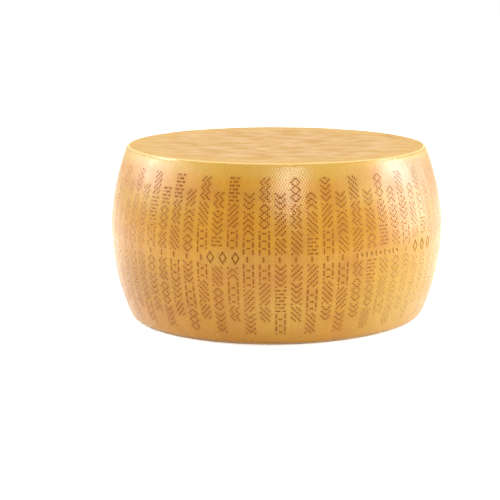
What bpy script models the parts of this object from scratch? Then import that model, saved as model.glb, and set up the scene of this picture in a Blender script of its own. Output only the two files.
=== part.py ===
"""A whole wheel of hard, aged grating cheese, modelled at its real size as one solid.

The wheel is a low barrel. Its side bulges to a belly just over half-way up, both flat faces end in a
rounded rim, and the base rim is a little softer, because the cheese has settled on it. The form is a
turned profile whose points are then moved by the slight unevenness that a pressed and salted wheel has.
The marks that the mould leaves round the side are cut as shallow grooves: rows of three open lozenges,
and friezes of small lozenges and bars. Units are metres, +Z is up, the front is -Y, and the origin is
the middle of the base.
"""

import math

import bmesh
import bpy
import numpy as np

# Driving dimensions of the barrel
HEIGHT = 0.231
BELLY_RADIUS = 0.225
BELLY_HEIGHT = 0.122
TOP_EDGE_RADIUS = 0.2007
BASE_EDGE_RADIUS = 0.1980
UPPER_BULGE = 1.75
LOWER_BULGE = 2.04
TOP_RIM_ROUND = 0.006
BASE_RIM_ROUND = 0.012

# Unevenness: a lean of the top face, a dish in it, and waves round the side, whose depth grows downwards
TOP_LEAN = 0.0013
TOP_DISH = 0.0012
OVAL_WAVE = 0.0010
BASE_WAVE = 0.0030
BASE_WAVE_TURN = math.radians(-38)
DENTS = 9
DENT_DEPTH = 0.0011
DENT_WIDTH = 0.022
DENT_SEED = 7

# Marks pressed in by the mould. A turn is measured round the axis from the front, towards +X
MARK_HEIGHT = 0.1155
MARK_DEPTH = 0.0015
LOZENGE_ROW_TURNS = [math.radians(turn) for turn in (-17.3, 56.8, 115.0, 198.0, 270.0)]
LOZENGE_PITCH = 0.0165
LOZENGE_HALF = (0.0056, 0.0092)
LOZENGE_HOLE_SHARE = 0.56
FRIEZE_TURNS = [math.radians(turn) for turn in (35.8, 177.0)]
FRIEZE_STEPS = range(-4, 5)
FRIEZE_PITCH = 0.0071
SMALL_LOZENGE_HALF = (0.0024, 0.0042)
BAR_HALF = (0.0009, 0.0040)

# How finely the solid is faceted
STEPS_ROUND = 120
SIDE_ROWS = 20
RIM_ROWS = 5
FACE_RINGS = (0.0, 0.045, 0.09, 0.13, 0.165)
CUTTER_PROUD = 0.004
WELD = 0.00002
SHARP_ANGLE = math.radians(35)

RIND_COLOUR = (0.72, 0.41, 0.10, 1.0)
RIND_ROUGHNESS = 0.38


def clear_scene():
    for obj in list(bpy.data.objects):
        bpy.data.objects.remove(obj, do_unlink=True)


def new_collection(name, rendered=True):
    collection = bpy.data.collections.new(name)
    collection.hide_render = not rendered
    bpy.context.scene.collection.children.link(collection)
    return collection


def rind_material():
    material = bpy.data.materials.new("aged_rind")
    material.use_nodes = True
    shader = material.node_tree.nodes["Principled BSDF"]
    shader.inputs["Base Color"].default_value = RIND_COLOUR
    shader.inputs["Roughness"].default_value = RIND_ROUGHNESS
    shader.inputs["Metallic"].default_value = 0.0
    return material


def side_radius(height):
    """The barrel's radius at a height, before its rims are rounded."""
    if height > BELLY_HEIGHT:
        share = (height - BELLY_HEIGHT) / (HEIGHT - BELLY_HEIGHT)
        return BELLY_RADIUS - (BELLY_RADIUS - TOP_EDGE_RADIUS) * share**UPPER_BULGE
    share = (BELLY_HEIGHT - height) / BELLY_HEIGHT
    return BELLY_RADIUS - (BELLY_RADIUS - BASE_EDGE_RADIUS) * share**LOWER_BULGE


def rim_arc(edge_radius, side_lean, rounding):
    """(radius, distance from the face) of a rim's arc, from the flat face round to the leaning side."""
    setback = rounding * math.tan((math.pi / 2 - side_lean) / 2)
    points = []
    for step in range(RIM_ROWS + 1):
        angle = math.pi / 2 + (side_lean - math.pi / 2) * step / RIM_ROWS
        radius = edge_radius - setback + rounding * math.cos(angle)
        points.append((radius, rounding - rounding * math.sin(angle)))
    return points


def half_profile():
    """(radius, height) of the turned outline, from the middle of the top face round to that of the base."""
    top_lean = math.atan((BELLY_RADIUS - TOP_EDGE_RADIUS) * UPPER_BULGE / (HEIGHT - BELLY_HEIGHT))
    base_lean = math.atan((BELLY_RADIUS - BASE_EDGE_RADIUS) * LOWER_BULGE / BELLY_HEIGHT)
    top_rim = [(r, HEIGHT - down) for r, down in rim_arc(TOP_EDGE_RADIUS, top_lean, TOP_RIM_ROUND)]
    base_rim = rim_arc(BASE_EDGE_RADIUS, base_lean, BASE_RIM_ROUND)
    side_top, side_base = top_rim[-1][1], base_rim[-1][1]
    side = []
    for row in range(1, SIDE_ROWS):
        height = side_top + (side_base - side_top) * row / SIDE_ROWS
        side.append((side_radius(height), height))
    top_face = [(radius, HEIGHT) for radius in FACE_RINGS]
    base_face = [(radius, 0.0) for radius in reversed(FACE_RINGS)]
    return top_face + top_rim + side + base_rim[::-1] + base_face


def turned_wheel(collection):
    """The profile, turned round the axis by a Screw modifier that is then applied."""
    outline = half_profile()
    mesh = bpy.data.meshes.new("cheese_profile")
    edges = [(point, point + 1) for point in range(len(outline) - 1)]
    mesh.from_pydata([(radius, 0.0, height) for radius, height in outline], edges, [])
    profile = bpy.data.objects.new("cheese_profile", mesh)
    collection.objects.link(profile)
    screw = profile.modifiers.new("Turn", "SCREW")
    screw.steps = screw.render_steps = STEPS_ROUND
    screw.use_merge_vertices = True
    screw.merge_threshold = 0.0001
    graph = bpy.context.evaluated_depsgraph_get()
    turned = bpy.data.meshes.new_from_object(profile.evaluated_get(graph))
    bpy.data.objects.remove(profile)
    wheel = bpy.data.objects.new("cheese_wheel", turned)
    collection.objects.link(wheel)
    return wheel


def side_wave(turn, height):
    """How far the side stands out at a turn and height: a slight oval, and a wave that fades upwards."""
    lower = (1 - height / HEIGHT) ** 2
    return BASE_WAVE * lower * np.cos(2 * (turn - BASE_WAVE_TURN)) - OVAL_WAVE * np.cos(2 * turn)


def dent_depth(turn, height):
    """Soft knocks scattered round the side, each a shallow bell-shaped hollow."""
    random = np.random.default_rng(DENT_SEED)
    depth = np.zeros_like(turn)
    for _ in range(DENTS):
        dent_turn = random.uniform(-math.pi, math.pi)
        dent_height = random.uniform(0.2, 0.8) * HEIGHT
        width = DENT_WIDTH * random.uniform(0.7, 1.5)
        across = BELLY_RADIUS * ((turn - dent_turn + math.pi) % (2 * math.pi) - math.pi)
        depth += DENT_DEPTH * np.exp(-(across**2 + (height - dent_height) ** 2) / (2 * width**2))
    return depth


def uneven(points):
    """The turned points, moved by the waves, the dents, the lean of the top face and the dish in it."""
    x, y, height = points.T
    radius = np.hypot(x, y)
    turn = np.arctan2(x, -y)
    reach = (radius / BELLY_RADIUS) ** 2
    moved_radius = radius + reach * (side_wave(turn, height) - dent_depth(turn, height))
    dish = TOP_DISH * np.clip(1 - (radius / TOP_EDGE_RADIUS) ** 2, 0, 1)
    lift = (height / HEIGHT) * (-TOP_LEAN * x / BELLY_RADIUS) - (height / HEIGHT) ** 8 * dish
    return np.column_stack((moved_radius * np.sin(turn), -moved_radius * np.cos(turn), height + lift))


def move_vertices(obj, place):
    """Passes all of an object's vertices through one function of their positions."""
    points = np.empty(len(obj.data.vertices) * 3)
    obj.data.vertices.foreach_get("co", points)
    obj.data.vertices.foreach_set("co", place(points.reshape(-1, 3)).ravel())
    obj.data.update()


def triangulated(obj):
    """Splits the quads, which the unevenness has bent, so that the grooves are cut in flat faces."""
    shape = bmesh.new()
    shape.from_mesh(obj.data)
    bmesh.ops.triangulate(shape, faces=shape.faces)
    shape.to_mesh(obj.data)
    shape.free()


def flat_outline(name, loops):
    """A 2D curve filled between its loops, made a closed mesh that is twice CUTTER_PROUD thick."""
    curve = bpy.data.curves.new(name, "CURVE")
    curve.dimensions = "2D"
    curve.fill_mode = "BOTH"
    curve.extrude = CUTTER_PROUD
    for loop in loops:
        spline = curve.splines.new("POLY")
        spline.points.add(len(loop) - 1)
        spline.use_cyclic_u = True
        for point, (across, up) in zip(spline.points, loop):
            point.co = (across, up, 0.0, 1.0)
    obj = bpy.data.objects.new(name, curve)
    bpy.context.scene.collection.objects.link(obj)
    graph = bpy.context.evaluated_depsgraph_get()
    mesh = bpy.data.meshes.new_from_object(obj.evaluated_get(graph))
    bpy.data.objects.remove(obj)
    shape = bmesh.new()
    shape.from_mesh(mesh)
    bmesh.ops.remove_doubles(shape, verts=shape.verts, dist=WELD)
    bmesh.ops.recalc_face_normals(shape, faces=shape.faces)
    shape.to_mesh(mesh)
    shape.free()
    return mesh


def diamond(half, share=1.0):
    across, up = half[0] * share, half[1] * share
    return [(across, 0.0), (0.0, up), (-across, 0.0), (0.0, -up)]


def upright_bar(half):
    across, up = half
    return [(-across, -up), (across, -up), (across, up), (-across, up)]


def wrapped_cutter(name, mesh, turn, collection):
    """Lays a flat cutter round the side, from MARK_DEPTH under the rind out to clear of it."""
    cutter = bpy.data.objects.new(name, mesh.copy())
    collection.objects.link(cutter)

    def on_side(points):
        across, up, out = points.T
        height = MARK_HEIGHT + up
        radius = np.array([side_radius(h) for h in height])
        angle = turn + across / radius
        side = np.column_stack((radius * np.sin(angle), -radius * np.cos(angle), height))
        rind = uneven(side)
        outward = np.column_stack((np.sin(angle), -np.cos(angle), np.zeros_like(angle)))
        depth = np.where(out > 0, CUTTER_PROUD, -MARK_DEPTH)
        return rind + outward * depth[:, None]

    move_vertices(cutter, on_side)
    cutter.display_type = "WIRE"
    cutter.hide_render = True


def mark_cutters(collection):
    """Every groove of the pressed marks: rows of three open lozenges, and friezes whose marks alternate."""
    lozenge_loops = [diamond(LOZENGE_HALF), diamond(LOZENGE_HALF, LOZENGE_HOLE_SHARE)]
    open_lozenge = flat_outline("open_lozenge", lozenge_loops)
    small_lozenge = flat_outline("small_lozenge", [diamond(SMALL_LOZENGE_HALF)])
    bar = flat_outline("bar", [upright_bar(BAR_HALF)])
    for row, row_turn in enumerate(LOZENGE_ROW_TURNS):
        for step in (-1, 0, 1):
            turn = row_turn + step * LOZENGE_PITCH / BELLY_RADIUS
            wrapped_cutter(f"cut_open_lozenge_{row}_{step}", open_lozenge, turn, collection)
    for frieze, frieze_turn in enumerate(FRIEZE_TURNS):
        for step in FRIEZE_STEPS:
            turn = frieze_turn + step * FRIEZE_PITCH / BELLY_RADIUS
            small_mark = bar if step % 2 else small_lozenge
            wrapped_cutter(f"cut_frieze_{frieze}_{step}", small_mark, turn, collection)


def press_marks(wheel, cutters):
    """Cuts the grooves, and keeps the result as the wheel's own mesh, so that sharp edges can be marked."""
    groove = wheel.modifiers.new("Pressed marks", "BOOLEAN")
    groove.operation = "DIFFERENCE"
    groove.solver = "EXACT"
    groove.operand_type = "COLLECTION"
    groove.collection = cutters
    graph = bpy.context.evaluated_depsgraph_get()
    pressed = bpy.data.meshes.new_from_object(wheel.evaluated_get(graph))
    wheel.modifiers.remove(groove)
    wheel.data = pressed
    for cutter in list(cutters.objects):
        bpy.data.objects.remove(cutter)


def main():
    clear_scene()
    parts = new_collection("Aged cheese wheel")
    cutters = new_collection("Mark cutters", rendered=False)
    wheel = turned_wheel(parts)
    wheel.data.materials.append(rind_material())
    move_vertices(wheel, uneven)
    triangulated(wheel)
    mark_cutters(cutters)
    press_marks(wheel, cutters)
    wheel.data.shade_smooth()
    wheel.data.set_sharp_from_angle(angle=SHARP_ANGLE)


main()
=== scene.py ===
# %% [markdown]
# A whole wheel of hard, aged grating cheese, dressed for its picture.
#
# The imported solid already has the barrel, its slight unevenness and the larger pressed marks. It leaves
# out what makes a rind: thousands of small dots pressed in by the mould, the net of its cloth, the stain
# in every pit, and the sheen of a skin that was turned, brushed and oiled for two years. We load the solid
# first, because every new piece has to lie exactly where it is.

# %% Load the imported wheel
import math

import bpy
import numpy as np
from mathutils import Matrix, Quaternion, Vector


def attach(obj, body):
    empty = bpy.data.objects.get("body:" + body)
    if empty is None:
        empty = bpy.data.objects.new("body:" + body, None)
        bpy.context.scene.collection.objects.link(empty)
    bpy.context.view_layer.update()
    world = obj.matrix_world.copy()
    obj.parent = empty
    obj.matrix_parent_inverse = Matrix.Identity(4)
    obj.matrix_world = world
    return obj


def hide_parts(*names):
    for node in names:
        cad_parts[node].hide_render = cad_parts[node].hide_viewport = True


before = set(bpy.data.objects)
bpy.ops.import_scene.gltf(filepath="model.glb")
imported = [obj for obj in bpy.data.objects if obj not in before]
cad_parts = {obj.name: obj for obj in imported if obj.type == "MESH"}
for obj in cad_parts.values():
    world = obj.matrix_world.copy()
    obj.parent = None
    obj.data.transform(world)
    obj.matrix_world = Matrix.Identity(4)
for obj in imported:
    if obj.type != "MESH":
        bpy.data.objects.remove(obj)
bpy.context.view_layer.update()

# %% [markdown]
# The rind follows the same formulas as the solid, so its sizes come first. A barrel is a few numbers: how
# high it is, how wide at the belly and at each flat face, and how roundly the side runs between them. A
# higher bulge power keeps the side upright for longer and then turns it in more quickly.

# %% Sizes of the barrel, in metres
HEIGHT = 0.231
BELLY_RADIUS = 0.225
BELLY_HEIGHT = 0.122
TOP_EDGE_RADIUS = 0.2007
BASE_EDGE_RADIUS = 0.1980
UPPER_BULGE = 1.75
LOWER_BULGE = 2.04
TOP_RIM_ROUND = 0.006
BASE_RIM_ROUND = 0.012
print("Height over width:", round(HEIGHT / (2 * BELLY_RADIUS), 2))

# %% [markdown]
# A turned shape is an outline swung round an axis. A Screw modifier could do the turning, but then we
# couldn't say where one dot goes. So we keep the outline as a long list of close points and measure the
# distance along it. Any place on the rind is then two numbers: a turn round the axis, and a distance along
# the outline.

# %% The outline, from the middle of the top face to the middle of the base
OUTLINE_STEPS = 1500


def side_radius(height):
    """Belly radius, less the top's share raised to the upper bulge, less the base's raised to the lower."""
    upper = np.clip((height - BELLY_HEIGHT) / (HEIGHT - BELLY_HEIGHT), 0, 1)
    lower = np.clip((BELLY_HEIGHT - height) / BELLY_HEIGHT, 0, 1)
    to_top = (BELLY_RADIUS - TOP_EDGE_RADIUS) * upper**UPPER_BULGE
    to_base = (BELLY_RADIUS - BASE_EDGE_RADIUS) * lower**LOWER_BULGE
    return BELLY_RADIUS - to_top - to_base


def rim_arc(edge_radius, side_lean, rounding):
    """Radii and distances from the face of an arc that touches the flat face and the leaning side."""
    setback = rounding * math.tan((math.pi / 2 - side_lean) / 2)
    angle = np.linspace(math.pi / 2, side_lean, OUTLINE_STEPS)
    return edge_radius - setback + rounding * np.cos(angle), rounding * (1 - np.sin(angle))


top_lean = math.atan((BELLY_RADIUS - TOP_EDGE_RADIUS) * UPPER_BULGE / (HEIGHT - BELLY_HEIGHT))
base_lean = math.atan((BELLY_RADIUS - BASE_EDGE_RADIUS) * LOWER_BULGE / BELLY_HEIGHT)
top_rim_radius, top_rim_drop = rim_arc(TOP_EDGE_RADIUS, top_lean, TOP_RIM_ROUND)
base_rim_radius, base_rim_rise = rim_arc(BASE_EDGE_RADIUS, base_lean, BASE_RIM_ROUND)
side_height = np.linspace(HEIGHT - top_rim_drop[-1], base_rim_rise[-1], OUTLINE_STEPS)
runs = [
    (np.linspace(0, top_rim_radius[0], OUTLINE_STEPS), np.full(OUTLINE_STEPS, HEIGHT)),
    (top_rim_radius, HEIGHT - top_rim_drop),
    (side_radius(side_height), side_height),
    (base_rim_radius[::-1], base_rim_rise[::-1]),
    (np.linspace(base_rim_radius[0], 0, OUTLINE_STEPS), np.zeros(OUTLINE_STEPS)),
]
outline_radius = np.concatenate([radius for radius, height in runs])
outline_height = np.concatenate([height for radius, height in runs])
outline_step = np.hypot(np.diff(outline_radius), np.diff(outline_height))
outline_length = np.concatenate(([0.0], np.cumsum(outline_step)))
RIM_START, SIDE_START, SIDE_END, RIM_END, BASE_MIDDLE = outline_length[
    OUTLINE_STEPS * np.arange(1, 6) - 1
]
print(f"The outline is {1000 * BASE_MIDDLE:.0f} mm long")

# %% [markdown]
# No wheel is a perfect turning. It is pressed while it is soft and settles on its shelf, so its top face
# leans a little and is dished, its side is slightly oval with a slow wave low down, and it carries a few
# soft knocks. The rind has to repeat all of that to the letter, or it would part from the solid by a
# millimetre or so.

# %% The unevenness of the solid, repeated
TOP_LEAN = 0.0013
TOP_DISH = 0.0012
OVAL_WAVE = 0.0010
BASE_WAVE = 0.0030
BASE_WAVE_TURN = math.radians(-38)
DENTS = 9
DENT_DEPTH = 0.0011
DENT_WIDTH = 0.022
DENT_SEED = 7
DENT_HEIGHT_SHARES = (0.2, 0.8)
DENT_WIDTH_SHARES = (0.7, 1.5)
DISH_FADE_POWER = 8


def side_wave(turn, height):
    """How far the side stands out: a slow wave that fades upwards, less a slight oval."""
    lower = (1 - height / HEIGHT) ** 2
    return BASE_WAVE * lower * np.cos(2 * (turn - BASE_WAVE_TURN)) - OVAL_WAVE * np.cos(2 * turn)


def wrapped(turn):
    """The same turn, between minus half and plus half a circle."""
    return (turn + math.pi) % (2 * math.pi) - math.pi


def dent_depth(turn, height):
    """The depth of the soft knocks: a sum of bell curves at seeded places."""
    random = np.random.default_rng(DENT_SEED)
    depth = np.zeros_like(turn)
    for _ in range(DENTS):
        dent_turn = random.uniform(-math.pi, math.pi)
        dent_height = random.uniform(*DENT_HEIGHT_SHARES) * HEIGHT
        width = DENT_WIDTH * random.uniform(*DENT_WIDTH_SHARES)
        across = BELLY_RADIUS * wrapped(turn - dent_turn)
        depth += DENT_DEPTH * np.exp(-(across**2 + (height - dent_height) ** 2) / (2 * width**2))
    return depth


def rind_point(turn, along):
    """The outline's point at a distance along it, swung to the turn and moved by the unevenness."""
    radius = np.interp(along, outline_length, outline_radius)
    height = np.interp(along, outline_length, outline_height)
    reach = (radius / BELLY_RADIUS) ** 2
    moved = radius + reach * (side_wave(turn, height) - dent_depth(turn, height))
    dish = TOP_DISH * np.clip(1 - (radius / TOP_EDGE_RADIUS) ** 2, 0, 1)
    lean = -TOP_LEAN * radius * np.sin(turn) / BELLY_RADIUS
    lift = (height / HEIGHT) * lean - (height / HEIGHT) ** DISH_FADE_POWER * dish
    return np.column_stack((moved * np.sin(turn), -moved * np.cos(turn), height + lift))


rim_front = rind_point(np.zeros(1), np.full(1, SIDE_START))[0]
print("The top rim's front is at", np.round(1000 * rim_front, 1), "mm")

# %% [markdown]
# The mould is lined with a plastic belt full of pins, and each pin leaves a dot. The dots stand in upright
# columns, and the cells of our lattice are laid out for them: six cells across a column, one for each dot,
# and a wider cell on each side for the plain strip between columns. So a dot never falls across an edge.

# %% Cells round the wheel
COLUMNS = 70
FIRST_COLUMN = -9
COLUMN_MIDDLE = math.radians(1.38)
COLUMN_TURN = 2 * math.pi / COLUMNS
DOTS_ACROSS = 6
DOT_PITCH = 0.00235
CELLS_IN_COLUMN = DOTS_ACROSS + 2
CELLS = COLUMNS * CELLS_IN_COLUMN

dot_edges = (np.arange(DOTS_ACROSS + 1) - DOTS_ACROSS / 2) * DOT_PITCH / BELLY_RADIUS
edges_in_column = np.concatenate(([-COLUMN_TURN / 2], dot_edges))
column_turns = COLUMN_MIDDLE + (FIRST_COLUMN + np.arange(COLUMNS)) * COLUMN_TURN
cell_turns = (column_turns[:, None] + edges_in_column).ravel()
cell_turns = np.append(cell_turns, cell_turns[0] + 2 * math.pi)
strip_width = COLUMN_TURN * BELLY_RADIUS - DOTS_ACROSS * DOT_PITCH
print(CELLS, "cells round, the plain strips", round(1000 * strip_width, 2), "mm wide")

# %% [markdown]
# Down the outline the rows are as high as the dots are apart. The rims curve more tightly, so their rows
# are lower. A narrow ring of each flat face goes with them, so that the joint lies where the surface is
# flat and can't be seen.

# %% Rows down the side
ROW_PITCH = 0.00233
FACE_RING = 0.010
FACE_ROWS = 4
TOP_RIM_ROWS = 7
BASE_RIM_ROWS = 9
side_rows = round((SIDE_END - SIDE_START) / ROW_PITCH)
row_runs = [
    (RIM_START - FACE_RING, RIM_START, FACE_ROWS),
    (RIM_START, SIDE_START, TOP_RIM_ROWS),
    (SIDE_START, SIDE_END, side_rows),
    (SIDE_END, RIM_END, BASE_RIM_ROWS),
    (RIM_END, RIM_END + FACE_RING, FACE_ROWS),
]
row_edges = np.concatenate([np.linspace(start, end, rows + 1)[:-1] for start, end, rows in row_runs])
row_edges = np.append(row_edges, RIM_END + FACE_RING)
ROWS = len(row_edges) - 1
row_heights = np.interp((row_edges[:-1] + row_edges[1:]) / 2, outline_length, outline_height)
print(ROWS, "rows,", side_rows, "of them on the side")

# %% [markdown]
# What the pins draw is a running ornament, six dots wide. Each is a formula in how far down a row is and
# how far a dot is from the nearer edge of its column. Where that distance goes in and out as the rows go
# down, for instance, the dots draw a chain of lozenges. A formula is shorter than a drawing, and it can
# run on for as long as we like.

# %% The ornaments
MIDDLE_DOT = 2
LONGEST_RUN = 13
down = np.arange(LONGEST_RUN)[:, None]
dot = np.arange(DOTS_ACROSS)[None, :]
to_edge = np.minimum(dot, DOTS_ACROSS - 1 - dot)
in_and_out = np.abs(down % 4 - 2)
ORNAMENTS = {
    "lozenge_chain": to_edge == in_and_out,
    "zigzags": dot % 3 == in_and_out,
    "herringbone": (down + to_edge) % 3 == 2,
    "turned_herringbone": (down - to_edge) % 3 == 0,
    "hatching": (down + dot) % 3 == 0,
    "counter_hatching": (down - dot) % 3 == 0,
    "broken_rails": (to_edge == 0) & (down % 4 != 3) | (to_edge == 2) & (down % 4 == 3),
    "brickwork": (down % 2 == 0) & ((dot + down) % 4 != 3),
}
for name, ornament in ORNAMENTS.items():
    print(f"{name:18}", "  ".join("".join("o" if d else "." for d in line) for line in ornament[:5]))

# %% [markdown]
# A column holds three runs of ornament on each side of its dash. Those on one side are longer, and every
# second column is turned over, so that the starts are staggered. Which ornaments a column gets is a seeded
# draw.

# %% The dots of every column
ORNAMENT_SEED = 41
DASH_HEIGHT = 0.115
DASH_ROWS = 5
LONG_RUNS = (LONGEST_RUN,) * 3
SHORT_RUNS = (9, LONGEST_RUN, 9)


def stacked_runs(random, lengths):
    """Ornaments drawn at random, cut to the lengths, with one empty row under each."""
    names = random.permutation(sorted(ORNAMENTS))
    empty = np.zeros((1, DOTS_ACROSS), bool)
    return np.vstack([np.vstack((ORNAMENTS[name][:rows], empty)) for name, rows in zip(names, lengths)])


dash = np.zeros((DASH_ROWS, DOTS_ACROSS), bool)
dash[1:-1, MIDDLE_DOT] = True
dash_row = int(np.argmin(np.abs(row_heights - DASH_HEIGHT)))
random = np.random.default_rng(ORNAMENT_SEED)
dotted = np.zeros((ROWS, COLUMNS, CELLS_IN_COLUMN), bool)
in_run = np.zeros_like(dotted)
for column in range(COLUMNS):
    starts_high = (column + FIRST_COLUMN) % 2 == 1
    upper, lower = (LONG_RUNS, SHORT_RUNS) if starts_high else (SHORT_RUNS, LONG_RUNS)
    above = stacked_runs(random, upper)[::-1]
    below = stacked_runs(random, lower)
    first = dash_row - DASH_ROWS // 2 - len(above)
    bitmap = np.vstack((above, dash, below))
    dotted[first : first + len(bitmap), column, 1:-1] = bitmap
    in_run[first : first + len(bitmap), column, 1:-1] = bitmap.any(axis=1, keepdims=True)
dotted = dotted.reshape(ROWS, CELLS)
in_run = in_run.reshape(ROWS, CELLS)
print(int(dotted.sum()), "dots in all,", round(dotted.sum() / COLUMNS), "in a column")

# %% [markdown]
# At mid-height the belt also carries larger marks: rows of three open lozenges, and friezes of small
# lozenges and bars. In the solid they are cut as plain grooves. Here each groove is a soft channel, whose
# depth depends on how far a point is from the middle of the stroke. For a lozenge that distance follows
# from the sum of its two shares, across and up, which is one all along its outline. For a bar it is the
# distance from a short upright line.

# %% The larger marks, as a share of their full depth
MARK_HEIGHT = 0.1155
MARK_DEPTH = 0.0015
LOZENGE_ROW_TURNS = np.radians((-17.3, 56.8, 115.0, 198.0, 270.0))
LOZENGE_PITCH = 0.0165
LOZENGE_HALF = (0.0056, 0.0092)
LOZENGE_HOLE_SHARE = 0.56
FRIEZE_TURNS = np.radians((35.8, 177.0))
FRIEZE_STEPS = range(-4, 5)
FRIEZE_PITCH = 0.0071
SMALL_LOZENGE_HALF = (0.0024, 0.0042)
BAR_HALF = (0.0009, 0.0040)
EASING_SHARE = 0.7


def channel(distance, half_width):
    """A soft groove: full depth near the middle of the stroke, easing to nothing at its edge."""
    inside = np.clip((1 - distance / half_width) / EASING_SHARE, 0, 1)
    return inside * inside * (3 - 2 * inside)


def lozenge_share(across, up, half):
    """0 at a lozenge's middle and 1 on its outline: the sum of the two shares of its half sizes."""
    return np.abs(across) / half[0] + np.abs(up) / half[1]


def open_lozenge_groove(across, up):
    """The stroke between a lozenge and the smaller one inside it."""
    middle, half = (1 + LOZENGE_HOLE_SHARE) / 2, (1 - LOZENGE_HOLE_SHARE) / 2
    return channel(np.abs(lozenge_share(across, up, LOZENGE_HALF) - middle), half)


def bar_groove(across, up):
    """An upright bar: the distance from its middle line, past its ends too."""
    beyond = np.maximum(np.abs(up) - (BAR_HALF[1] - BAR_HALF[0]), 0)
    return channel(np.hypot(across, beyond), BAR_HALF[0])


def mark_share(turn, height):
    """The deepest of all the grooves at a place, from 0 to 1."""
    radius, up = side_radius(height), height - MARK_HEIGHT
    share = np.zeros_like(turn)
    for row_turn in LOZENGE_ROW_TURNS:
        for step in (-1, 0, 1):
            mark_turn = row_turn + step * LOZENGE_PITCH / BELLY_RADIUS
            share = np.maximum(share, open_lozenge_groove(wrapped(turn - mark_turn) * radius, up))
    for frieze_turn in FRIEZE_TURNS:
        for step in FRIEZE_STEPS:
            mark_turn = frieze_turn + step * FRIEZE_PITCH / BELLY_RADIUS
            across = wrapped(turn - mark_turn) * radius
            small = channel(lozenge_share(across, up, SMALL_LOZENGE_HALF), 1)
            share = np.maximum(share, bar_groove(across, up) if step % 2 else small)
    return share


print(len(LOZENGE_ROW_TURNS), "rows of lozenges and", len(FRIEZE_TURNS), "friezes")

# %% [markdown]
# A groove two millimetres wide is as narrow as one cell, so the cells that a groove crosses are split in
# four each way. We number a grid that is four times as fine everywhere, but only keep the points that
# something uses: the corners of every cell, and all points of the split cells. Dots keep one cell away
# from the split ones, and stay out of the marks: a mark's area is a rounded box, where the fourth powers
# of the shares across and up come to less than one.

# %% Which cells are split, which are dotted
SPLIT = 4
MARK_CLEARANCE = 0.003
fine_turns = np.interp(np.arange(CELLS * SPLIT) / SPLIT, np.arange(CELLS + 1), cell_turns)
fine_along = np.interp(np.arange(ROWS * SPLIT + 1) / SPLIT, np.arange(ROWS + 1), row_edges)
fine_heights = np.interp(fine_along, outline_length, outline_height)
on_side = (fine_along > SIDE_START) & (fine_along < SIDE_END)
near_marks = on_side & (np.abs(fine_heights - MARK_HEIGHT) < LOZENGE_HALF[1] + ROW_PITCH)
grooves = np.zeros((ROWS * SPLIT + 1, CELLS * SPLIT))
grooves[near_marks] = mark_share(*np.meshgrid(fine_turns, fine_heights[near_marks]))


def beside(cells):
    """Cells that are marked, or have a marked cell above, below, left or right of them."""
    grown = cells | np.roll(cells, 1, 1) | np.roll(cells, -1, 1)
    grown[1:] |= cells[:-1]
    grown[:-1] |= cells[1:]
    return grown


split = np.zeros((ROWS, CELLS), bool)
for down in range(SPLIT + 1):
    fine_rows = grooves[down : down + ROWS * SPLIT : SPLIT]
    for right in range(SPLIT + 1):
        split |= fine_rows[:, (np.arange(CELLS) * SPLIT + right) % (CELLS * SPLIT)] > 0
cell_middles = np.meshgrid((cell_turns[:-1] + cell_turns[1:]) / 2, row_heights)
in_mark = np.zeros((ROWS, CELLS), bool)
row_half = (LOZENGE_PITCH + LOZENGE_HALF[0], LOZENGE_HALF[1])
frieze_half = (FRIEZE_STEPS[-1] * FRIEZE_PITCH + SMALL_LOZENGE_HALF[0], SMALL_LOZENGE_HALF[1])
for mark_turns, half in ((LOZENGE_ROW_TURNS, row_half), (FRIEZE_TURNS, frieze_half)):
    for mark_turn in mark_turns:
        across = BELLY_RADIUS * wrapped(cell_middles[0] - mark_turn) / (half[0] + MARK_CLEARANCE)
        up = (cell_middles[1] - MARK_HEIGHT) / (half[1] + MARK_CLEARANCE)
        in_mark |= across**4 + up**4 < 1
dotted &= ~in_mark & ~beside(split)
in_run &= ~in_mark
bordering = beside(split) & ~split
plain = ~split & ~bordering & ~dotted
print(f"{split.sum()} split cells, {bordering.sum()} beside them, {dotted.sum()} dots left")

# %% [markdown]
# Every point of the rind has four numbers: its turn, its distance along the outline, how deep it lies
# under the smooth surface, and how strongly dirt and oil have stained it. Points and faces come in groups,
# which two helpers collect. One adds points and gives back their numbers. The other adds faces and notes
# which of six pieces they are in: four stretches of the side, cut in the plain strips, or a flat face.

# %% Two helpers for points and faces
COLUMNS_IN_PIECES = (18, 17, 18, 17)
SIDE_PIECES = len(COLUMNS_IN_PIECES)
TOP_PIECE, BASE_PIECE = SIDE_PIECES, SIDE_PIECES + 1
piece_of_column = np.repeat(np.arange(SIDE_PIECES), COLUMNS_IN_PIECES)
piece_of_cell = np.repeat(piece_of_column, CELLS_IN_COLUMN)
turns, alongs, depths, stains = [], [], [], []
quads, triangles = [], []
quad_pieces, triangle_pieces = [], []


def add_points(turn, along, depth=0.0, stain=0.0):
    """Adds points to the four lists and returns their numbers. A single value holds for all of them."""
    first = sum(len(group) for group in turns)
    values = np.broadcast_arrays(turn, along, depth, stain)
    for groups, value in zip((turns, alongs, depths, stains), values):
        groups.append(value.ravel())
    return first + np.arange(values[0].size).reshape(values[0].shape)


def add_faces(corners, pieces):
    """Adds a quad or a triangle for each row of corner numbers, and the piece that it is in."""
    faces, owners = (quads, quad_pieces) if corners.shape[1] == 4 else (triangles, triangle_pieces)
    faces.append(corners)
    owners.append(np.broadcast_to(pieces, len(corners)))


print("Cells round in each piece of the side:", np.bincount(piece_of_cell))

# %% [markdown]
# The grid's own points come first. Stain has crept a little past the dots, so a corner of the grid takes a
# share for each dotted cell that meets there, and a smaller one for each cell in a row of dots.

# %% Points of the grid
MARK_STAIN = 0.7
CREPT_STAIN = 0.28
COLUMN_STAIN = 0.12


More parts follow.
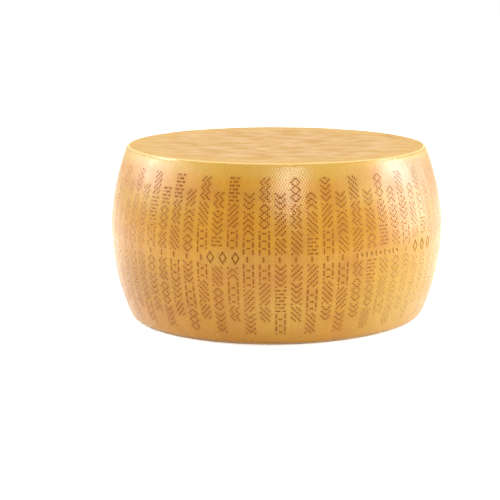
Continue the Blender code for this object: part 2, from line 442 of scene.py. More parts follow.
def share_at_corners(cells):
    """For each corner of the grid, the share of the four cells meeting there that are marked."""
    edge = np.zeros((1, CELLS))
    beside_corner = np.vstack((edge, cells)) + np.vstack((cells, edge))
    return (beside_corner + np.roll(beside_corner, 1, 1)) / 4


grid_stain = MARK_STAIN * grooves
grid_stain[::SPLIT, ::SPLIT] += CREPT_STAIN * share_at_corners(dotted)
grid_stain[::SPLIT, ::SPLIT] += COLUMN_STAIN * share_at_corners(in_run)
used = np.zeros_like(grooves, bool)
used[::SPLIT, ::SPLIT] = True
split_rows, split_cells = np.nonzero(split)
for down in range(SPLIT + 1):
    for right in range(SPLIT + 1):
        used[split_rows * SPLIT + down, (split_cells * SPLIT + right) % (CELLS * SPLIT)] = True
grid_rows, grid_columns = np.nonzero(used)
number = np.zeros(used.shape, int)
number[used] = add_points(
    fine_turns[grid_columns], fine_along[grid_rows], MARK_DEPTH * grooves[used], grid_stain[used]
)
print(used.sum(), "points in the grid")

# %% [markdown]
# Plain cells are one quad each, and split cells sixteen. A cell beside a split one has more points on the
# shared edge than on the others, so it becomes a fan of triangles round its own middle. On an edge that
# nothing has split, the corner before them stands in for the missing points. Their triangles then have no
# area, and we drop them.

# %% Faces of plain, split and bordering cells
def square_corners(top, left, size):
    """The corners of squares of the fine grid, going round each so that its face points outwards."""
    bottom, right = top + size, (left + size) % (CELLS * SPLIT)
    places = ((top, left), (bottom, left), (bottom, right), (top, right))
    return np.column_stack([number[place] for place in places])


plain_rows, plain_cells = np.nonzero(plain)
add_faces(square_corners(plain_rows * SPLIT, plain_cells * SPLIT, SPLIT), piece_of_cell[plain_cells])
for down in range(SPLIT):
    for right in range(SPLIT):
        small = square_corners(split_rows * SPLIT + down, split_cells * SPLIT + right, 1)
        add_faces(small, piece_of_cell[split_cells])

steps = np.arange(SPLIT)
step_down = np.concatenate((steps, np.full(SPLIT, SPLIT), SPLIT - steps, np.zeros(SPLIT, int)))
step_right = np.roll(step_down, SPLIT)
border_rows, border_cells = np.nonzero(bordering)
ring_rows = border_rows[:, None] * SPLIT + step_down
ring_columns = (border_cells[:, None] * SPLIT + step_right) % (CELLS * SPLIT)
corner_before = (np.arange(4 * SPLIT) // SPLIT) * SPLIT
ring = np.where(
    used[ring_rows, ring_columns],
    number[ring_rows, ring_columns],
    number[ring_rows[:, corner_before], ring_columns[:, corner_before]],
)
middles = add_points(
    (cell_turns[border_cells] + cell_turns[border_cells + 1]) / 2,
    (row_edges[border_rows] + row_edges[border_rows + 1]) / 2,
)
fans = np.stack((np.broadcast_to(middles[:, None], ring.shape), ring, np.roll(ring, -1, 1)), axis=2)
kept = fans[:, :, 1] != fans[:, :, 2]
fan_pieces = np.broadcast_to(piece_of_cell[border_cells][:, None], ring.shape)
add_faces(fans[kept], fan_pieces[kept])
print(kept.sum(), "triangles in", len(middles), "fans")

# %% [markdown]
# Each dot is a small pit: an eight-sided lip in the surface, a narrower ring below it and a point at the
# bottom. With thousands of them a dot may cost only a few dozen faces. Pins wear and cheese springs back,
# so every dot draws its own size, depth and place within its cell. The lip starts at an angle that turns
# two of its points to each corner of the cell.

# %% The dots
DOT_SEED = 5
DOT_SIDES = 8
FIRST_LIP_ANGLE = math.radians(112.5)
DOT_SIZES = (0.84, 1.08)
DOT_PRESSES = (0.75, 1.15)
DOT_SHIFTS = (-0.05, 0.05)
LIP_SHARE, RING_SHARE = 0.385, 0.24
RING_DEPTH, DOT_DEPTH = 0.00055, 0.00080
LIP_STAIN = 0.85
PRESS_STAIN = 0.3

random = np.random.default_rng(DOT_SEED)
dot_rows, dot_cells = np.nonzero(dotted)
size, press, shift_right, shift_down = (
    random.uniform(*limits, len(dot_rows))[:, None]
    for limits in (DOT_SIZES, DOT_PRESSES, DOT_SHIFTS, DOT_SHIFTS)
)
angle = FIRST_LIP_ANGLE + 2 * math.pi * np.arange(DOT_SIDES) / DOT_SIDES
cell_width = (cell_turns[dot_cells + 1] - cell_turns[dot_cells])[:, None]
cell_drop = (row_edges[dot_rows + 1] - row_edges[dot_rows])[:, None]
middle_turn = cell_turns[dot_cells][:, None] + cell_width * (0.5 + shift_right)
middle_along = row_edges[dot_rows][:, None] + cell_drop * (0.5 + shift_down)
dot_stain = 1 + PRESS_STAIN * (press - 1)


def dot_ring(share, depth, stain):
    """A ring of points round the middle of each dot, whose radius is a share of the dot's cell."""
    turn = middle_turn + cell_width * share * size * np.cos(angle)
    along = middle_along - cell_drop * share * size * np.sin(angle)
    return add_points(turn, along, depth * press, stain * dot_stain)


lip = dot_ring(LIP_SHARE, 0.0, LIP_STAIN)
pit_ring = dot_ring(RING_SHARE, RING_DEPTH, 1.0)
bottom = add_points(middle_turn, middle_along, DOT_DEPTH * press, dot_stain)[:, 0]
print(lip.size + pit_ring.size + bottom.size, "points in the dots")

# %% [markdown]
# The faces of a dot link the cell's four corners to the lip, the lip to the ring below, and the ring to
# the bottom. Two lip points belong to each corner: a triangle joins them, and a quad bridges the gap to
# the next corner.

# %% Faces of the dots
corners = square_corners(dot_rows * SPLIT, dot_cells * SPLIT, SPLIT)
dot_pieces = piece_of_cell[dot_cells]
for corner in range(4):
    own, other, across_gap = 2 * corner, 2 * corner + 1, (2 * corner + 2) % DOT_SIDES
    next_corner = (corner + 1) % 4
    add_faces(np.column_stack((corners[:, corner], lip[:, [other, own]])), dot_pieces)
    add_faces(np.hstack((corners[:, [corner, next_corner]], lip[:, [across_gap, other]])), dot_pieces)
for side in range(DOT_SIDES):
    after = (side + 1) % DOT_SIDES
    add_faces(np.hstack((lip[:, [side, after]], pit_ring[:, [after, side]])), dot_pieces)
    add_faces(np.column_stack((pit_ring[:, [side, after]], bottom)), dot_pieces)
print(len(bottom), "dots of", 2 * 4 + 2 * DOT_SIDES, "faces each")

# %% [markdown]
# The flat faces are discs of rings. A ring near the rim needs as many points as the side has, or the two
# wouldn't join, but the same number near the middle would give slivers. So the count is halved whenever
# the points come too close: two outer edges then meet one inner edge in three triangles. The last ring
# closes on a single point.

# %% The two flat faces
TOP_RING_GAP = 0.0032
BASE_RING_GAP = 0.0055
CLOSEST_POINTS = 0.0012
LEAST_SEGMENTS = 35


def flat_face(outer, start, middle, ring_gap, piece):
    """Rings of points from the side's outer numbers to the middle, with the faces that join them."""
    rings = round(abs(middle - start) / ring_gap)
    ring_turns = cell_turns[:-1]
    order = 1 if piece == TOP_PIECE else -1
    for along in np.linspace(start, middle, rings + 1)[1:-1]:
        gap = 2 * math.pi * np.interp(along, outline_length, outline_radius) / len(outer)
        halved = len(outer) > LEAST_SEGMENTS and gap < CLOSEST_POINTS
        if halved:
            ring_turns = ring_turns[::2]
        inner = add_points(ring_turns, along)
        after = np.roll(inner, -1)
        if halved:
            near, mid, far = outer[::2], outer[1::2], np.roll(outer[::2], -1)
            for three in ((near, mid, inner), (mid, after, inner), (mid, far, after)):
                add_faces(np.column_stack(three[::order]), piece)
        else:
            add_faces(np.column_stack((outer, np.roll(outer, -1), after, inner)[::order]), piece)
        outer = inner
    centre = np.full(len(outer), add_points(0.0, middle))
    add_faces(np.column_stack((outer, np.roll(outer, -1), centre)[::order]), piece)


flat_face(number[0, ::SPLIT], row_edges[0], 0.0, TOP_RING_GAP, TOP_PIECE)
flat_face(number[-1, ::SPLIT], row_edges[-1], BASE_MIDDLE, BASE_RING_GAP, BASE_PIECE)
turns, alongs, depths, stains = (np.concatenate(groups) for groups in (turns, alongs, depths, stains))
print(len(turns), "points in all")

# %% [markdown]
# The skin of a hard cheese is never as smooth as a turning. It carries low waves from the press and the
# cloth, a few tenths of a millimetre deep, and its top rim has a few nicks. We could use a noise texture
# for the waves, but a sum of cosine waves in seeded directions is as soft and gives real relief in the
# mesh. All relief goes inwards, so that the rind never grows past the solid.

# %% Low waves and nicks in the rim
WAVE_SEED = 23
SIDE_WAVES = ((0.060, 0.00022), (0.026, 0.00010))
FACE_WAVES = ((0.075, 0.00030), (0.022, 0.00012))
WAVES_EACH = 14
WAVE_NUMBER_SHARES = (0.6, 1.4)
WAVE_REACH = 1.6
NICK_TURNS = np.radians((1.0, 5.6, 128.0, 203.0, 251.0))
NICK_DEPTH = 0.0007
NICK_WIDTH = 0.0021


def cosine_waves(points, length, seed):
    """Seeded cosine waves of about one length: their sum over the root of their count, from -1 to 1."""
    random = np.random.default_rng(seed)
    directions = random.normal(size=(WAVES_EACH, 3))
    directions *= (2 * math.pi / length) / np.linalg.norm(directions, axis=1)[:, None]
    directions *= random.uniform(*WAVE_NUMBER_SHARES, WAVES_EACH)[:, None]
    phases = random.uniform(0, 2 * math.pi, WAVES_EACH)
    total = np.cos(points @ directions.T + phases).sum(axis=1)
    return np.clip(total / (WAVE_REACH * math.sqrt(WAVES_EACH)), -1, 1)


def smooth_share(values, start, end):
    """0 before start and 1 after end, easing in between."""
    share = np.clip((values - start) / (end - start), 0, 1)
    return share * share * (3 - 2 * share)


top_share = 1 - smooth_share(alongs, RIM_START, SIDE_START)
base_share = smooth_share(alongs, SIDE_END, RIM_END)
flat_share = top_share + base_share
smooth_points = rind_point(turns, alongs)
for waves, share in ((SIDE_WAVES, 1 - flat_share), (FACE_WAVES, top_share)):
    for index, (length, depth) in enumerate(waves):
        depths += share * depth * (1 + cosine_waves(smooth_points, length, WAVE_SEED + index)) / 2
rim_middle = (RIM_START + SIDE_START) / 2
for turn in NICK_TURNS:
    across = TOP_EDGE_RADIUS * wrapped(turns - turn)
    nick = np.exp(-(across**2 + (alongs - rim_middle) ** 2) / (2 * NICK_WIDTH**2))
    depths += NICK_DEPTH * nick
print("The deepest point lies", round(1000 * depths.max(), 2), "mm in")

# %% [markdown]
# The stain isn't even round a wheel. Where it was brushed harder the dots are nearly clean, and where oil
# stood in them they are dark. So all stains are multiplied by a strength that drifts in waves longer than a
# hand, and that is greatest round the front. The weaker stain at the sides is partly real and partly
# painted sheen: it stands in for the shine that washes the dots out there. The top face has a few brown
# smudges of its own, from damp boards, each of them a bell curve: its turn and radius, half its size round
# and outwards, and its share.

# %% Strength of the stain, and the smudges
STAIN_SEED = 61
STAIN_WAVE = 0.16
STAIN_MIDDLE, STAIN_SWING, STAIN_LEAST = 0.32, 0.16, 0.17
# Stain strongest round the front and weaker at the sides: partly real, partly painted sheen washing out the
# dots at the sides.
DARK_BAND_TURN, DARK_BAND_SPREAD = math.radians(-8), math.radians(48)
DARK_BAND_EXTRA = 0.59
in_band = np.exp(-((wrapped(turns - DARK_BAND_TURN) / DARK_BAND_SPREAD) ** 4))
strength = STAIN_MIDDLE + STAIN_SWING * cosine_waves(smooth_points, STAIN_WAVE, STAIN_SEED)
strength = np.clip(strength + DARK_BAND_EXTRA * in_band, STAIN_LEAST, 1)
stains *= strength
print(f"Stain strength from {strength.min():.2f} to {strength.max():.2f}")

SMUDGES = ((116.0, 0.179, 0.0120, 0.0034, 0.34), (122.0, 0.194, 0.0090, 0.0032, 0.24),
           (87.8, 0.172, 0.0036, 0.0042, 0.34), (101.0, 0.182, 0.0060, 0.0032, 0.20),
           (-137.0, 0.120, 0.0150, 0.0034, 0.16), (24.0, 0.090, 0.0040, 0.0040, 0.14))
radii = np.hypot(smooth_points[:, 0], smooth_points[:, 1])
for turn, radius, half_round, half_out, share in SMUDGES:
    around = radius * wrapped(turns - math.radians(turn)) / half_round
    outwards = (radii - radius) / half_out
    stains += share * top_share * np.exp(-(around**2 + outwards**2) / 2)

# %% [markdown]
# One more number says how pale or dark the rind is: above zero it is paler, below zero darker. Partly this
# is real: the air has dried it pale in places, and it has drunk oil in others. Partly it is painted light
# and shade. It is pale in a band under the top rim, from drying and from painted light from above. It is
# darker in a belt below that, from oil and from painted shade that sets off the shine. Patches under the
# shine on the upper shoulders are darkened so that the shine reads whiter, which is a painted highlight.
# Two patches just below them lighten the rind again, partly as painted sheen. One patch low on the right is
# lightened as painted light, and one low on the front left is darkened as painted shadow. Slow waves and
# the other soft patches make it differ from place to place. A patch is a bell curve too: its turn and
# height, half its size in degrees and in metres, and its share.

# %% How pale or dark the rind is, with painted light and shade
PALE_SEED = 77
PALE_WAVE, PALE_SWING = 0.24, 0.22
# The band under the top rim is paler from drying and from painted light from above.
DRY_AND_LIT_BAND_HEIGHTS, DRY_AND_LIT_BAND_SHARE = (0.187, 0.221), 0.70
# The belt is darker from oil and from painted shade that sets off the shine above it.
OIL_AND_SHADE_BELT_HEIGHT, OIL_AND_SHADE_BELT_HALF, OIL_AND_SHADE_BELT_SHARE = 0.202, 0.015, 0.42
# Of these patches, the first two are a painted highlight, darkened under the shine. The ninth and tenth
# lighten below it, partly as painted sheen. The fifth is painted light low on the right, and the eighth is
# painted shadow low on the front left.
OIL_DRY_AND_PAINTED_LIGHT_PATCHES = ((53.0, 0.213, 17.0, 0.022, -1.60), (-52.0, 0.212, 22.0, 0.021, -0.70),
                (56.0, 0.088, 26.0, 0.045, 0.40), (30.0, 0.148, 15.0, 0.024, -0.40),
                (50.0, 0.03, 26.0, 0.050, 0.90), (3.0, 0.04, 14.0, 0.040, 0.60),
                (-17.0, 0.115, 10.0, 0.020, -0.35), (-46.0, 0.075, 20.0, 0.045, -0.50),
                (35.0, 0.194, 14.0, 0.016, 0.90), (-54.0, 0.184, 25.0, 0.024, 0.52),
                (-100.0, 0.10, 30.0, 0.060, 0.40), (150.0, 0.14, 26.0, 0.050, 0.40))
UNDER_THE_RIM = (0.218, 0.228)
heights = smooth_points[:, 2]
pale = DRY_AND_LIT_BAND_SHARE * smooth_share(heights, *DRY_AND_LIT_BAND_HEIGHTS)
pale -= OIL_AND_SHADE_BELT_SHARE * np.exp(-(((heights - OIL_AND_SHADE_BELT_HEIGHT) / OIL_AND_SHADE_BELT_HALF) ** 2))
pale += PALE_SWING * cosine_waves(smooth_points, PALE_WAVE, PALE_SEED)
under_rim = 1 - smooth_share(heights, *UNDER_THE_RIM)
for turn, height, half_turn, half_height, share in OIL_DRY_AND_PAINTED_LIGHT_PATCHES:
    across = wrapped(turns - math.radians(turn)) / math.radians(half_turn)
    up = (heights - height) / half_height
    pale += share * under_rim * np.exp(-(across**2 + up**2))
pale = np.clip(pale, -1, 1)
print(f"The rind is {100 * np.mean(pale > 0):.0f}% on the pale side of even")

# %% [markdown]
# To sink a point we need the direction that leads into the cheese. Two small steps on the surface, one to
# the right and one down, span its tangent plane, and their cross product points straight in. At the two
# middles the first step has no length, so there we simply take the axis.

# %% Sink every point to its depth
TURN_STEP = 1e-4
ALONG_STEP = 2e-4
NO_AREA = 1e-12
to_right = rind_point(turns + TURN_STEP, alongs) - rind_point(turns - TURN_STEP, alongs)
going_down = rind_point(turns, alongs + ALONG_STEP) - rind_point(turns, alongs - ALONG_STEP)
inward = np.cross(to_right, going_down)
inward_size = np.linalg.norm(inward, axis=1)
at_middle = inward_size < NO_AREA
inward[at_middle] = 0
inward[at_middle, 2] = np.where(alongs[at_middle] < SIDE_START, -1, 1)
inward /= np.where(at_middle, 1.0, inward_size)[:, None]
points = smooth_points + inward * depths[:, None]
print("The rind measures", np.round(1000 * (points.max(0) - points.min(0)), 1), "mm")

# %% [markdown]
# Smooth shading needs one normal for each point. Blender would work them out piece by piece, and along a
# joint between pieces they would differ, which shows as a line in the gloss. So we work them out over the
# whole rind: each face adds its cross product, which is as long as the face is large, to its corners.

# %% One set of normals over the whole rind
all_quads, all_triangles = np.concatenate(quads), np.concatenate(triangles)
quad_pieces, triangle_pieces = np.concatenate(quad_pieces), np.concatenate(triangle_pieces)
normals = np.zeros_like(points)
for faces, lines in ((all_quads, ((0, 2), (1, 3))), (all_triangles, ((0, 1), (0, 2)))):
    face_normals = np.cross(*(points[faces[:, end]] - points[faces[:, start]] for start, end in lines))
    for corner in range(faces.shape[1]):
        for part in range(3):
            normals[:, part] += np.bincount(faces[:, corner], face_normals[:, part], len(points))
normals /= np.linalg.norm(normals, axis=1)[:, None]
print(2 * len(all_quads) + len(all_triangles), "triangles in all")

# %% [markdown]
# Each of the six pieces becomes a mesh, with a map of its own for painting: round and down for a stretch of
# the side, plain left-right and front-back for a face. Four more values ride along for the finish: the
# place on the rind in millimetres, how stained and how pale a point is, and how far it is on a flat face.

# %% Make the six pieces
MAP_MARGIN = 0.01
SEAM_SLACK = 0.1
PIECE_NAMES = ["rind_front", "rind_right", "rind_back", "rind_left", "rind_top", "rind_base"]
first_columns = np.searchsorted(piece_of_column, np.arange(SIDE_PIECES + 1))
piece_starts = cell_turns[first_columns * CELLS_IN_COLUMN]


def new_object(name, data):
    """A new object, linked into the scene."""
    made = bpy.data.objects.new(name, data)
    bpy.context.scene.collection.objects.link(made)
    return made


def add_values(mesh, name, kind, values):
    """Stores one value for each point as an attribute."""
    field = "vector" if kind == "FLOAT_VECTOR" else "value"
    mesh.attributes.new(name, kind, "POINT").data.foreach_set(field, values.astype(np.float32).ravel())


def rind_piece(name, piece):
    """Takes one piece's faces out of the whole, numbers its points anew and makes the mesh."""
    own_quads, own_triangles = all_quads[quad_pieces == piece], all_triangles[triangle_pieces == piece]
    corners = np.concatenate((own_quads.ravel(), own_triangles.ravel()))
    own, local = np.unique(corners, return_inverse=True)
    sizes = np.concatenate((np.full(len(own_quads), 4), np.full(len(own_triangles), 3)))
    mesh = bpy.data.meshes.new(name)
    mesh.vertices.add(len(own))
    mesh.vertices.foreach_set("co", points[own].astype(np.float32).ravel())
    mesh.loops.add(len(corners))
    mesh.loops.foreach_set("vertex_index", local.astype(np.int32).ravel())
    mesh.polygons.add(len(sizes))
    mesh.polygons.foreach_set("loop_start", np.concatenate(([0], np.cumsum(sizes)[:-1])).astype(np.int32))
    mesh.update(calc_edges=True)
    mesh.shade_smooth()
    turn = turns[own]
    if piece < SIDE_PIECES:
        start, end = piece_starts[piece], piece_starts[piece + 1]
        turn = start + (turn - start + SEAM_SLACK) % (2 * math.pi) - SEAM_SLACK
        across = (turn - start) / (end - start)
        up = 1 - (alongs[own] - row_edges[0]) / (row_edges[-1] - row_edges[0])
    else:
        across, up = points[own, :2].T / (2 * TOP_EDGE_RADIUS) + 0.5
    place = MAP_MARGIN + (1 - 2 * MAP_MARGIN) * np.column_stack((across, up))
    rind_map = mesh.uv_layers.new(name="rind_map")
    rind_map.data.foreach_set("uv", place[local.ravel()].astype(np.float32).ravel())
    around, down = 1000 * BELLY_RADIUS * turn, 1000 * (alongs[own] - SIDE_START)
    add_values(mesh, "rind_mm", "FLOAT_VECTOR", np.column_stack((around, down, np.zeros_like(down))))
    add_values(mesh, "stain", "FLOAT", stains[own])
    add_values(mesh, "pale", "FLOAT", pale[own])
    add_values(mesh, "flat_share", "FLOAT", flat_share[own])
    mesh.normals_split_custom_set_from_vertices(normals[own].astype(np.float32))
    made = new_object(name, mesh)
    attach(made, "root")
    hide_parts("cheese_wheel")
    print(f"{name}: {2 * len(own_quads) + len(own_triangles)} triangles")
    return made


rind_pieces = [rind_piece(name, piece) for piece, name in enumerate(PIECE_NAMES)]

# %% [markdown]
# Finishes are built from nodes. One helper turns a colour that we can read off a screen into the linear
# light that a shader needs. One adds a node, sets it up and links it. One starts a material, and one
# works out a pattern's scale from its size in millimetres.

# %% Colours and nodes
def colour(code):
    """sRGB hex to linear: a dark channel is divided by 12.92, a lighter one is put through a 2.4 power."""
    shares = [int(code[i : i + 2], 16) / 255 for i in (0, 2, 4)]
    return (*(s / 12.92 if s <= 0.04045 else ((s + 0.055) / 1.055) ** 2.4 for s in shares), 1.0)


def add(tree, kind, inputs=None, **settings):
    """Adds a ShaderNode and gives its outputs. An input is a value, or an output that feeds it."""
    made = tree.nodes.new("ShaderNode" + kind)
    for name, value in settings.items():
        setattr(made, name, value)
    for socket, value in (inputs or {}).items():
        if isinstance(value, bpy.types.NodeSocket):
            tree.links.new(value, made.inputs[socket])
        else:
            made.inputs[socket].default_value = value
    return made.outputs


def new_material(name):
    """An empty material whose Principled shader is ready to be fed."""
    material = bpy.data.materials.new(name)
    material.use_nodes = True
    return material, material.node_tree, material.node_tree.nodes["Principled BSDF"]


def per_metre(size_mm):
    """How many times a pattern of this size comes in a metre, as a whole number."""
    return round(1000 / size_mm)


print("The grey 808080 is", round(colour("808080")[0], 2), "in linear light")

# %% [markdown]
# The rind is dried cheese, rubbed with oil: a dense amber skin with a soft sheen. Its colour drifts slowly
# over a hand's width, is mottled over a few centimetres, and turns browner low down where the wheel has
# sweated on its board. Where it has dried it is paler, and where it drank oil it is darker. The same paler
# and darker colours also carry painted light, and painted shade round the shine. We lay these colours over
# each other with mixes, each led by a noise or by a value of the points. A noise counts for nothing up to
# the first end of its range, and for its full share from the second.

# %% Oiled rind: the colour of the side
AMBER_DEEP, AMBER_PALE, AMBER_BROWN = colour("946303"), colour("A0710D"), colour("905A0D")
# The pale colour is partly drying and partly painted light. The oily colour is partly oil and partly
# painted shade round the shine.
SWEATED, DRY_AND_LIT_PALE, OILED_AND_SHADED_AMBER = colour("944E05"), colour("9F7E2E"), colour("845F17")
DRIFT_MM, DRIFT_RANGE = 143, (0.35, 0.65)
MOTTLE_MM, MOTTLE_RANGE, MOTTLE_SHARE = 29.4, (0.48, 0.72), 0.55
SWEAT_HEIGHT, SWEAT_SHARE = 0.055, 0.4
OIL_AND_SHADE_SLOPE, OIL_AND_SHADE_START = -1.2, -0.2

rind, tree, shader = new_material("aged cheese rind, oiled")
place = add(tree, "TexCoord")["Object"]
pale_share, stain, flat = (
    add(tree, "Attribute", attribute_name=name)["Fac"] for name in ("pale", "stain", "flat_share")
)
drift = add(tree, "TexNoise", {"Vector": place, "Scale": per_metre(DRIFT_MM), "Detail": 2.0})
mottle = add(tree, "TexNoise", {"Vector": place, "Scale": per_metre(MOTTLE_MM), "Detail": 5.0})
drift_share, mottle_share = (
    add(tree, "MapRange", {
        "Value": noise["Fac"], "From Min": start, "From Max": end, "To Max": share,
    })["Result"]
    for noise, (start, end), share in ((drift, DRIFT_RANGE, 1.0), (mottle, MOTTLE_RANGE, MOTTLE_SHARE))
)
height = add(tree, "SeparateXYZ", {"Vector": place})["Z"]
low_down = add(tree, "MapRange", {
    "Value": height, "From Max": SWEAT_HEIGHT, "To Min": SWEAT_SHARE, "To Max": 0.0,
})["Result"]
sweat = add(tree, "Math", {0: low_down, 1: drift_share}, operation="MULTIPLY")[0]
# Below zero the mix turns to the oily colour: partly oil, partly painted shade round the shine.
oil_and_shade = add(tree, "Math", {
    0: pale_share, 1: OIL_AND_SHADE_SLOPE, 2: OIL_AND_SHADE_START,
}, operation="MULTIPLY_ADD")[0]
amber = AMBER_DEEP
for share, over in (
    (drift_share, AMBER_PALE), (mottle_share, AMBER_BROWN), (sweat, SWEATED),
    (pale_share, DRY_AND_LIT_PALE), (oil_and_shade, OILED_AND_SHADED_AMBER),
):
    amber = add(tree, "Mix", {0: share, 6: amber, 7: over}, data_type="RGBA")[2]
print("Mottles are about", MOTTLE_MM, "mm across, the drift", DRIFT_MM, "mm")

# %% [markdown]
# The flat faces lie on boards and drink less oil, so they are paler and duller. They have faint brown
# streaks and turn golden towards the rim. The rim carries a light line, partly from wear and partly a
# painted highlight of the light caught by its rounding. How far a point is on a flat face rises from 0 to 1
# over the rim. That share times what it lacks of 1 is greatest half-way, so it draws the line for us.

# %% Oiled rind: the flat faces, and the rim's light line of wear and painted highlight
FACE_PALE, FACE_GOLD = colour("A38254"), colour("956F2E")
# The light rim colour is partly wear and partly a painted highlight.
RIM_GOLD, WORN_AND_LIT_RIM = colour("A07E3A"), colour("E2C08A")
STREAK_MM, STREAK_RANGE = (33.3, 22.7, 33.3), (0.40, 0.62)
STREAK_BENDS = 0.3
GOLDEN_RADII, GOLDEN_SHARE = (0.130, 0.195), 0.6
DRY_RANGE = (0.45, 0.95)
WORN_AND_LIT_GAIN = 2.3

streaked = add(tree, "Mapping", {"Vector": place, "Scale": [per_metre(size) for size in STREAK_MM]})[0]
streaks = add(tree, "TexNoise", {
    "Vector": streaked, "Scale": 1.0, "Detail": 5.0, "Distortion": STREAK_BENDS,
})
streak_share = add(tree, "MapRange", {
    "Value": streaks["Fac"], "From Min": STREAK_RANGE[0], "From Max": STREAK_RANGE[1],
})["Result"]
on_face = add(tree, "VectorMath", {0: place, 1: (1.0, 1.0, 0.0)}, operation="MULTIPLY")[0]
from_axis = add(tree, "VectorMath", {0: on_face}, operation="LENGTH")["Value"]
golden = add(tree, "MapRange", {
    "Value": from_axis, "From Min": GOLDEN_RADII[0], "From Max": GOLDEN_RADII[1], "To Max": GOLDEN_SHARE,
}, interpolation_type="SMOOTHSTEP")["Result"]
dry = add(tree, "MapRange", {"Value": flat, "From Min": DRY_RANGE[0], "From Max": DRY_RANGE[1]})["Result"]
# The light line at the rim: partly wear, partly a painted highlight of its rounding.
worn_and_lit = add(tree, "Math", {0: dry, 1: -WORN_AND_LIT_GAIN, 2: WORN_AND_LIT_GAIN}, operation="MULTIPLY_ADD")[0]
worn_and_lit = add(tree, "Math", {0: dry, 1: worn_and_lit}, operation="MULTIPLY")[0]
face = FACE_PALE
for share, over in ((streak_share, FACE_GOLD), (golden, RIM_GOLD)):
    face = add(tree, "Mix", {0: share, 6: face, 7: over}, data_type="RGBA")[2]
skin = amber
for share, over in ((dry, face), (worn_and_lit, WORN_AND_LIT_RIM)):
    skin = add(tree, "Mix", {0: share, 6: skin, 7: over}, data_type="RGBA")[2]
print("Faces turn golden from", round(1000 * GOLDEN_RADII[0]), "mm out")

# %% [markdown]
# Dirt and oil gather in the dots and grooves, stain them a reddish brown and take the white out of their
# gloss. The mould's cloth has left a net under a tenth of a millimetre high, and the cheese has a fine
# grain, which is drawn coarser than it is, or it wouldn't show. Both are too low for a mesh, so they are
# bumps. The net's height is the product of two cosines, one of the way round and one of the way down.

# %% Oiled rind: stain, net and sheen
STAIN_BROWN = colour("682902")
CLEAR_GLOSS, DIRTY_GLOSS = colour("FFFFFF"), colour("70360A")
RIND_IOR = 1.45
OILED_ROUGHNESS, OILED_RANGE = (0.23, 0.32), (0.3, 0.7)
FACE_ROUGHNESS = 0.8
NET_ROUND = 372
NET_DOWN_MM = 6.6
GRAIN_MM = 2.38
NET_RELIEF, GRAIN_RELIEF = 0.00006, 0.00006

finish, gloss_tint = (
    add(tree, "Mix", {0: stain, 6: clean, 7: stained}, data_type="RGBA")[2]
    for clean, stained in ((skin, STAIN_BROWN), (CLEAR_GLOSS, DIRTY_GLOSS))
)

on_rind = add(tree, "Attribute", attribute_name="rind_mm")["Vector"]
ways = add(tree, "SeparateXYZ", {"Vector": on_rind})
net_height = add(tree, "Math", {0: 1.0, 1: flat}, operation="SUBTRACT")[0]
for way, per_mm in (("X", NET_ROUND / (1000 * BELLY_RADIUS)), ("Y", 2 * math.pi / NET_DOWN_MM)):
    phase = add(tree, "Math", {0: ways[way], 1: per_mm}, operation="MULTIPLY")[0]
    thread = add(tree, "Math", {0: phase}, operation="COSINE")[0]
    net_height = add(tree, "Math", {0: net_height, 1: thread}, operation="MULTIPLY")[0]
net_bump = add(tree, "Bump", {"Height": net_height, "Distance": NET_RELIEF})
grain = add(tree, "TexNoise", {"Vector": place, "Scale": per_metre(GRAIN_MM), "Detail": 3.0})
grain_bump = add(tree, "Bump", {
    "Height": grain["Fac"], "Distance": GRAIN_RELIEF, "Normal": net_bump[0],
})
roughness = add(tree, "MapRange", {
    "Value": mottle["Fac"], "From Min": OILED_RANGE[0], "From Max": OILED_RANGE[1],
    "To Min": OILED_ROUGHNESS[0], "To Max": OILED_ROUGHNESS[1],
})["Result"]
roughness = add(tree, "Mix", {0: dry, 2: roughness, 3: FACE_ROUGHNESS})[0]
feeds = {"Base Color": finish, "Specular Tint": gloss_tint, "Roughness": roughness, "Normal": grain_bump[0]}
for socket, value in feeds.items():
    tree.links.new(value, shader.inputs[socket])
shader.inputs["IOR"].default_value = RIND_IOR
for piece in rind_pieces:
    piece.data.materials.append(rind)
print("The net repeats every", round(2000 * math.pi * BELLY_RADIUS / NET_ROUND, 2), "mm round the side")

# %% [markdown]
# The wheel stands on a plain pale table, so wide and deep that it fills the view. In front it ends just
# out of view, or the oiled side would reflect a white sheet and lose its depth of colour.

# %% Table
TABLE_HALF = 40.0
TABLE_FRONT = -0.85
PAINT_ROUGHNESS = 0.9
paint, _, floor_shader = new_material("matt white paint")
floor_shader.inputs["Base Color"].default_value = colour("FAFAF9")
floor_shader.inputs["Roughness"].default_value = PAINT_ROUGHNESS
floor_mesh = bpy.data.meshes.new("floor")
floor_corners = [(x, y, 0) for y in (TABLE_FRONT, TABLE_HALF) for x in (-TABLE_HALF, TABLE_HALF)]
floor_mesh.from_pydata(floor_corners, [], [(0, 1, 3, 2)])
floor_mesh.materials.append(paint)
floor = new_object("floor", floor_mesh)
print("The table reaches", -TABLE_FRONT, "m to the front")

# %% [markdown]
# Soft studio light: a ceiling without end, which is a sun lamp with a very wide disc, lights the floor
# evenly to its horizon. Low softboxes on both sides give the shoulders of the wheel their soft shine, and
# a raised, narrow one on each side draws the light line along the rim. The reflection of a tall one beside
# the camera is the upright bright patch near the middle. Each softbox has a row: its bearing and height
# angle in degrees, its distance from the wheel, its width and height, and its power in watts.

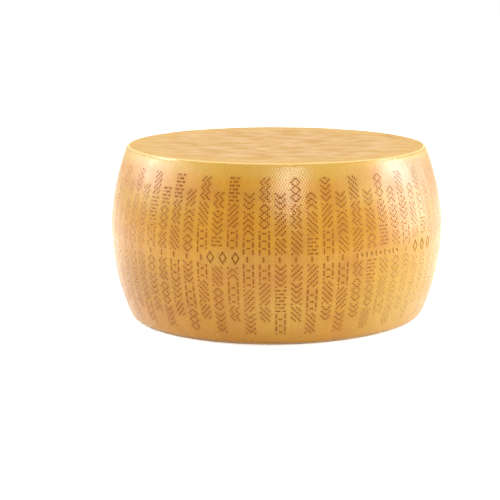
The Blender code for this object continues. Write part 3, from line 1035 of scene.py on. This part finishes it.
# %% Lights
CEILING_STRENGTH = 0.36
CEILING_SPREAD = math.radians(90)
WORLD_STRENGTH = 0.94
SOFTBOXES = {
    "right softbox": (94, 17, 2.4, 0.9, 0.68, 37),
    "right wall": (120, 9, 2.6, 1.4, 0.8, 10.5),
    "raised right softbox": (108, 41, 2.5, 1.4, 0.2, 22),
    "low right strip": (100, 1, 2.6, 1.5, 0.3, 14),
    "right front fill": (64, 21, 2.5, 1.3, 0.8, 9),
    "left softbox": (-99, 17, 2.4, 0.8, 0.45, 15),
    "left front softbox": (-80, 22, 2.4, 0.8, 0.6, 9),
    "left wall": (-120, 16, 2.6, 1.3, 0.8, 9),
    "raised left softbox": (-112, 42, 2.5, 1.4, 0.25, 38),
    "left front fill": (-60, 25, 2.4, 0.9, 0.8, 4),
    "front softbox": (11, 26, 2.6, 0.30, 0.9, 27),
    "overhead softbox": (0, 64, 2.5, 2.0, 1.2, 10),
}
ceiling = bpy.data.lights.new("ceiling", "SUN")
ceiling.energy = CEILING_STRENGTH
ceiling.angle = CEILING_SPREAD
new_object("ceiling", ceiling)

wheel_middle = Vector((0, 0, HEIGHT / 2))
for name, (bearing, elevation, distance, width, length, watts) in SOFTBOXES.items():
    turn, rise = math.radians(bearing), math.radians(elevation)
    outward = Vector((math.sin(turn) * math.cos(rise), -math.cos(turn) * math.cos(rise), math.sin(rise)))
    lamp = bpy.data.lights.new(name, "AREA")
    lamp.shape = "RECTANGLE"
    lamp.size, lamp.size_y = width, length
    lamp.energy = watts
    lamp_object = new_object(name, lamp)
    lamp_object.location = wheel_middle + outward * distance
    lamp_object.rotation_euler = (-outward).to_track_quat("-Z", "Y").to_euler()

world = bpy.data.worlds.new("studio")
world.use_nodes = True
background = world.node_tree.nodes["Background"].inputs
background["Color"].default_value = colour("FFFFFF")
background["Strength"].default_value = WORLD_STRENGTH
bpy.context.scene.world = world
bpy.context.scene.view_settings.view_transform = "Standard"
print(len(SOFTBOXES), "softboxes")

# %% [markdown]
# The camera stands two metres away and a little above the wheel, with a long lens, as for a catalogue
# picture. It looks just left of the wheel's middle and below it, which puts the wheel right of the
# picture's centre. It is rolled by a hair, so that the wheel stands upright.

# %% Camera
CAMERA_PLACE = Vector((0.0, -2.09, 0.492))
CAMERA_AIM = Vector((-0.0362, 0.0, 0.0837))
CAMERA_ROLL = math.radians(-0.39)
LENS_MM, SENSOR_MM = 111.5, 36.0
camera = new_object("camera", bpy.data.cameras.new("camera"))
camera.data.lens = LENS_MM
camera.data.sensor_width = SENSOR_MM
camera.location = CAMERA_PLACE
look = (CAMERA_AIM - CAMERA_PLACE).to_track_quat("-Z", "Y") @ Quaternion((0, 0, 1), CAMERA_ROLL)
camera.rotation_euler = look.to_euler()
bpy.context.scene.camera = camera
print("The camera is", round((CAMERA_PLACE - wheel_middle).length, 2), "m from the wheel")
